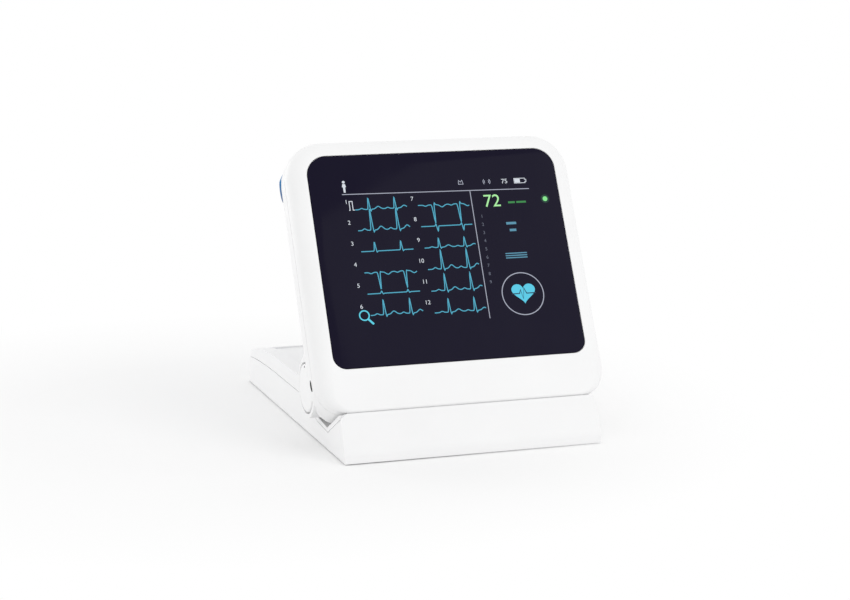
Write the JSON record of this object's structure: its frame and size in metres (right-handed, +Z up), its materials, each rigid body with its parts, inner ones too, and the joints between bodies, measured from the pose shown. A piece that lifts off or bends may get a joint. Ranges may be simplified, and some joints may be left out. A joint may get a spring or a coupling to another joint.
{
  "type": "portable ecg monitor",
  "caption": "Portable patient monitor with a rounded touch display hinged on a low wedge-shaped battery base, blue rear grip and white moulded housings.",
  "frame": {"origin": "centre of the object's footprint, on the surface it stands on", "axes": "+Z up, -Y towards the user in front of the screen, +X to the user's right"},
  "size_m": [0.1606, 0.206, 0.1554],
  "materials": {
    "housing_white": "moulded, fine satin texture",
    "screen_glass": "gloss, black printed border",
    "display_dark": "gloss",
    "bracket_steel": "brushed",
    "board_green": "solder mask",
    "light_pipe_green": "clear gloss",
    "grip_blue": "satin gloss",
    "speaker_black": "matt",
    "button_grey": "satin",
    "switch_grey": "satin",
    "hinge_steel": "turned",
    "washer_grey": "satin",
    "screw_steel": "machined",
    "cable_black": "matt sheath",
    "battery_grey": "shrink sleeve",
    "foot_rubber": "matt",
    "shield_tin": "tinned sheet",
    "socket_black": "satin"
  },
  "bodies": {
    "base": {"base_lower_shell": "housing_white", "base_top_cover": "housing_white", "friction_washer_left": "washer_grey", "friction_washer_right": "washer_grey", "battery_door": "housing_white", "battery_door_screw": "screw_steel", "battery_pack": "battery_grey", "main_board": "board_green", "shield_can": "shield_tin", "patient_socket": "socket_black", "power_inlet": "socket_black", "foot_front_left": "foot_rubber", "foot_front_right": "foot_rubber", "foot_rear_left": "foot_rubber", "foot_rear_right": "foot_rubber", "base_screw_1": "screw_steel", "base_screw_2": "screw_steel", "base_screw_3": "screw_steel", "base_screw_4": "screw_steel", "base_cable": "cable_black"},
    "head": {"head_front_shell": "housing_white", "touch_glass": "screen_glass", "display_panel": "display_dark", "display_bracket": "bracket_steel", "display_board": "board_green", "led_light_pipe": "light_pipe_green", "head_rear_cover": "housing_white", "rear_grip": "grip_blue", "speaker": "speaker_black", "power_switch": "switch_grey", "hinge_pin_left": "hinge_steel", "hinge_pin_right": "hinge_steel", "hinge_cap_left": "housing_white", "hinge_cap_right": "housing_white", "head_screw_1": "screw_steel", "head_screw_2": "screw_steel", "head_screw_3": "screw_steel", "head_screw_4": "screw_steel", "head_cable": "cable_black"},
    "button": {"power_button": "button_grey"}
  },
  "joints": [
    {"name": "head_fold", "type": "hinge", "parent": "base", "child": "head", "pos_m": [0, -0.0532, 0.0302], "axis": [-1, 0, 0], "range_deg": [0, 62]},
    {"name": "power_button_press", "type": "slide", "parent": "head", "child": "button", "axis": [-1, 0, 0], "range_m": [0, 0.0008], "stiffness_N_per_m": 600}
  ]
}
